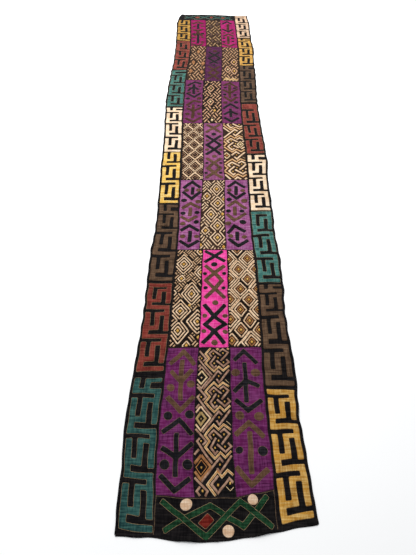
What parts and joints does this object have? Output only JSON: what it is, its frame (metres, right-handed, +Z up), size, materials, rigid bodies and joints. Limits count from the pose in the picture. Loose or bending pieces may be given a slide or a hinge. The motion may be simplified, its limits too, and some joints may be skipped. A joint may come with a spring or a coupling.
{
  "type": "kuba raffia cloth",
  "caption": "Long raffia cloth laid flat: dyed, appliquéd and embroidered panels pieced between two black borders with meander appliqué.",
  "frame": {"origin": "middle of the cloth's bounding box, on the surface that it lies on", "axes": "+X across the cloth to the right, +Y along it from the near end to the far end, +Z up"},
  "size_m": [0.6792, 4.2636, 0.0084],
  "materials": {
    "black_ground": "matte woven raffia, dyed near black",
    "purple_panel": "matte woven raffia, dyed purple, with sewn motifs",
    "pink_panel": "matte woven raffia, dyed bright pink, with sewn motifs",
    "tan_embroidery": "cut pile and line embroidery in undyed raffia on a dark ground",
    "teal_applique": "matte woven raffia, dyed teal",
    "red_applique": "matte woven raffia, dyed brick red",
    "brown_applique": "matte woven raffia, dyed brown",
    "yellow_applique": "matte woven raffia, dyed yellow",
    "cream_applique": "matte woven raffia, undyed cream",
    "green_applique": "matte woven raffia, dyed dark green"
  },
  "bodies": {
    "root": {"panel_1_left": "purple_panel", "panel_1_middle": "tan_embroidery", "panel_1_right": "purple_panel", "panel_2_left": "tan_embroidery", "panel_2_middle": "pink_panel", "panel_2_right": "tan_embroidery", "panel_3_left": "purple_panel", "panel_3_middle": "tan_embroidery", "panel_3_right": "purple_panel", "panel_4_left": "tan_embroidery", "panel_4_middle": "purple_panel", "panel_4_right": "tan_embroidery", "panel_5_left": "purple_panel", "panel_5_middle": "tan_embroidery", "panel_5_right": "purple_panel", "panel_6_left": "tan_embroidery", "panel_6_middle": "purple_panel", "panel_6_right": "tan_embroidery", "panel_7_left": "pink_panel", "panel_7_middle": "tan_embroidery", "panel_7_right": "pink_panel", "border_left_1": "black_ground", "meander_left_1": "teal_applique", "border_left_2": "black_ground", "meander_left_2": "red_applique", "border_left_3": "black_ground", "meander_left_3": "brown_applique", "border_left_4": "black_ground", "meander_left_4": "yellow_applique", "border_left_5": "black_ground", "meander_left_5": "cream_applique", "border_left_6": "black_ground", "meander_left_6": "teal_applique", "border_left_7": "black_ground", "meander_left_7": "red_applique", "border_left_8": "black_ground", "meander_left_8": "yellow_applique", "border_right_1": "black_ground", "meander_right_1": "yellow_applique", "border_right_2": "black_ground", "meander_right_2": "brown_applique", "border_right_3": "black_ground", "meander_right_3": "teal_applique", "border_right_4": "black_ground", "meander_right_4": "cream_applique", "border_right_5": "black_ground", "meander_right_5": "red_applique", "border_right_6": "black_ground", "meander_right_6": "brown_applique", "border_right_7": "black_ground", "meander_right_7": "yellow_applique", "border_right_8": "black_ground", "meander_right_8": "cream_applique", "end_near": "black_ground", "end_far": "black_ground", "interlace_near": "green_applique", "diamond_near": "red_applique", "round_near_1": "cream_applique", "round_near_2": "cream_applique", "round_near_3": "cream_applique"}
  },
  "joints": []
}
